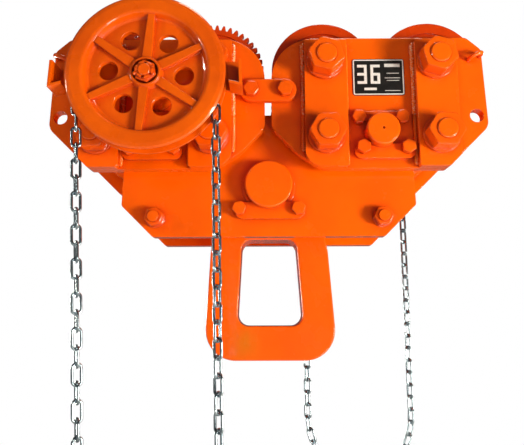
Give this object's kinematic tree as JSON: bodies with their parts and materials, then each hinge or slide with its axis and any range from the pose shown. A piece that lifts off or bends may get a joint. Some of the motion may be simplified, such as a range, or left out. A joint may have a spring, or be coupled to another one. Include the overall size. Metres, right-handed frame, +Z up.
{
  "type": "geared beam trolley",
  "caption": "Geared trolley that runs on a beam flange: two linked four-wheel bogies with hand chain drives, a load frame between them and a slotted suspension lug.",
  "frame": {"origin": "middle of the trolley on the beam surface that the wheels run on", "axes": "+X along the beam towards the right bogie, +Y across the beam to the rear, +Z up"},
  "size_m": [0.7752, 0.458, 0.8968],
  "materials": {
    "orange_enamel": "glossy orange enamel",
    "chain_steel": "zinc plated",
    "machined_steel": "machined",
    "bearing_steel": "ground",
    "bronze": "machined bearing bronze",
    "plate_black": "black printed plate"
  },
  "bodies": {
    "load_frame": {"load_plate_front": "orange_enamel", "load_plate_rear": "orange_enamel", "load_frame_spacers": "orange_enamel", "load_frame_tie_bolts": "orange_enamel", "load_frame_fasteners": "orange_enamel", "lug_pin": "orange_enamel", "lug_pin_keepers": "orange_enamel", "lug_spacers": "machined_steel"},
    "lug": {"lug": "orange_enamel", "lug_bush": "bronze"},
    "front_strap": {"link_strap_front": "orange_enamel"},
    "rear_strap": {"link_strap_rear": "orange_enamel"},
    "left_hand_drive": {"left_pinion_shaft": "machined_steel", "left_hand_wheel": "orange_enamel", "left_hub_nut": "orange_enamel"},
    "left_plain_wheel_inner": {"left_plain_wheel_inner": "orange_enamel"},
    "left_plain_wheel_outer": {"left_plain_wheel_outer": "orange_enamel"},
    "left_geared_wheel_inner": {"left_geared_wheel_inner": "orange_enamel"},
    "left_geared_wheel_outer": {"left_geared_wheel_outer": "orange_enamel"},
    "left_bogie": {"left_axle_and_tie_fasteners": "orange_enamel", "left_chain_guide": "orange_enamel", "left_eyelets": "orange_enamel", "left_geared_side_plate": "orange_enamel", "left_hand_chain": "chain_steel", "left_load_pin": "orange_enamel", "left_load_pin_keepers": "orange_enamel", "left_plain_side_plate": "orange_enamel", "left_plate_screws": "orange_enamel", "left_shaft_bushes": "bronze", "left_shaft_housing": "orange_enamel", "left_spacers": "orange_enamel", "left_stiffeners": "orange_enamel", "left_tie_bolts": "orange_enamel", "left_wheel_axles": "orange_enamel", "left_wheel_bearings": "bearing_steel"},
    "right_hand_drive": {"right_pinion_shaft": "machined_steel", "right_hand_wheel": "orange_enamel", "right_hub_nut": "orange_enamel"},
    "right_plain_wheel_inner": {"right_plain_wheel_inner": "orange_enamel"},
    "right_plain_wheel_outer": {"right_plain_wheel_outer": "orange_enamel"},
    "right_geared_wheel_inner": {"right_geared_wheel_inner": "orange_enamel"},
    "right_geared_wheel_outer": {"right_geared_wheel_outer": "orange_enamel"},
    "right_bogie": {"right_axle_and_tie_fasteners": "orange_enamel", "right_chain_guide": "orange_enamel", "right_eyelets": "orange_enamel", "right_geared_side_plate": "orange_enamel", "right_hand_chain": "chain_steel", "right_load_pin": "orange_enamel", "right_load_pin_keepers": "orange_enamel", "right_plain_side_plate": "orange_enamel", "right_plate_screws": "orange_enamel", "right_shaft_bushes": "bronze", "right_shaft_housing": "orange_enamel", "right_spacers": "orange_enamel", "right_stiffeners": "orange_enamel", "right_tie_bolts": "orange_enamel", "right_wheel_axles": "orange_enamel", "right_wheel_bearings": "bearing_steel", "rating_plate": "plate_black"}
  },
  "joints": [
    {"name": "lug_swing", "type": "hinge", "parent": "load_frame", "child": "lug", "pos_m": [0, 0, -0.1505], "axis": [0, 1, 0], "range_deg": [-30, 30]},
    {"name": "left_bogie_pivot", "type": "hinge", "parent": "load_frame", "child": "left_bogie", "pos_m": [-0.197, 0, -0.0635], "axis": [0, 1, 0], "range_deg": [-1.5, 1.5]},
    {"name": "right_bogie_pivot", "type": "hinge", "parent": "load_frame", "child": "right_bogie", "pos_m": [0.197, 0, -0.0635], "axis": [0, 1, 0], "range_deg": [-1.5, 1.5]},
    {"name": "front_strap_pivot", "type": "hinge", "parent": "left_bogie", "child": "front_strap", "pos_m": [-0.03, -0.1205, 0.013], "axis": [0, 1, 0], "range_deg": [-10, 10]},
    {"name": "rear_strap_pivot", "type": "hinge", "parent": "left_bogie", "child": "rear_strap", "pos_m": [-0.03, 0.1205, 0.013], "axis": [0, 1, 0], "range_deg": [-10, 10]},
    {"name": "left_plain_wheel_inner_spin", "type": "hinge", "parent": "left_bogie", "child": "left_plain_wheel_inner", "pos_m": [-0.1, 0.07, 0.0625], "axis": [0, 1, 0], "continuous": true},
    {"name": "left_plain_wheel_outer_spin", "type": "hinge", "parent": "left_bogie", "child": "left_plain_wheel_outer", "pos_m": [-0.294, 0.07, 0.0625], "axis": [0, 1, 0], "continuous": true},
    {"name": "left_geared_wheel_inner_spin", "type": "hinge", "parent": "left_bogie", "child": "left_geared_wheel_inner", "pos_m": [-0.1, -0.07, 0.0625], "axis": [0, 1, 0], "continuous": true},
    {"name": "left_geared_wheel_outer_spin", "type": "hinge", "parent": "left_bogie", "child": "left_geared_wheel_outer", "pos_m": [-0.294, -0.07, 0.0625], "axis": [0, 1, 0], "continuous": true},
    {"name": "left_hand_drive_spin", "type": "hinge", "parent": "left_bogie", "child": "left_hand_drive", "pos_m": [-0.197, -0.15, 0.00651], "axis": [0, 1, 0], "continuous": true},
    {"name": "right_plain_wheel_inner_spin", "type": "hinge", "parent": "right_bogie", "child": "right_plain_wheel_inner", "pos_m": [0.1, -0.07, 0.0625], "axis": [0, 1, 0], "continuous": true},
    {"name": "right_plain_wheel_outer_spin", "type": "hinge", "parent": "right_bogie", "child": "right_plain_wheel_outer", "pos_m": [0.294, -0.07, 0.0625], "axis": [0, 1, 0], "continuous": true},
    {"name": "right_geared_wheel_inner_spin", "type": "hinge", "parent": "right_bogie", "child": "right_geared_wheel_inner", "pos_m": [0.1, 0.07, 0.0625], "axis": [0, 1, 0], "continuous": true},
    {"name": "right_geared_wheel_outer_spin", "type": "hinge", "parent": "right_bogie", "child": "right_geared_wheel_outer", "pos_m": [0.294, 0.07, 0.0625], "axis": [0, 1, 0], "continuous": true},
    {"name": "right_hand_drive_spin", "type": "hinge", "parent": "right_bogie", "child": "right_hand_drive", "pos_m": [0.197, 0.15, 0.00651], "axis": [0, 1, 0], "continuous": true}
  ],
  "couplings": [
    {"joint": "right_bogie_pivot", "follows": "left_bogie_pivot", "ratio": 1},
    {"joint": "front_strap_pivot", "follows": "left_bogie_pivot", "ratio": -6.5667},
    {"joint": "rear_strap_pivot", "follows": "left_bogie_pivot", "ratio": -6.5667},
    {"joint": "left_geared_wheel_outer_spin", "follows": "left_geared_wheel_inner_spin", "ratio": 1},
    {"joint": "left_hand_drive_spin", "follows": "left_geared_wheel_inner_spin", "ratio": -4.0909},
    {"joint": "right_geared_wheel_outer_spin", "follows": "right_geared_wheel_inner_spin", "ratio": 1},
    {"joint": "right_hand_drive_spin", "follows": "right_geared_wheel_inner_spin", "ratio": -4.0909}
  ]
}
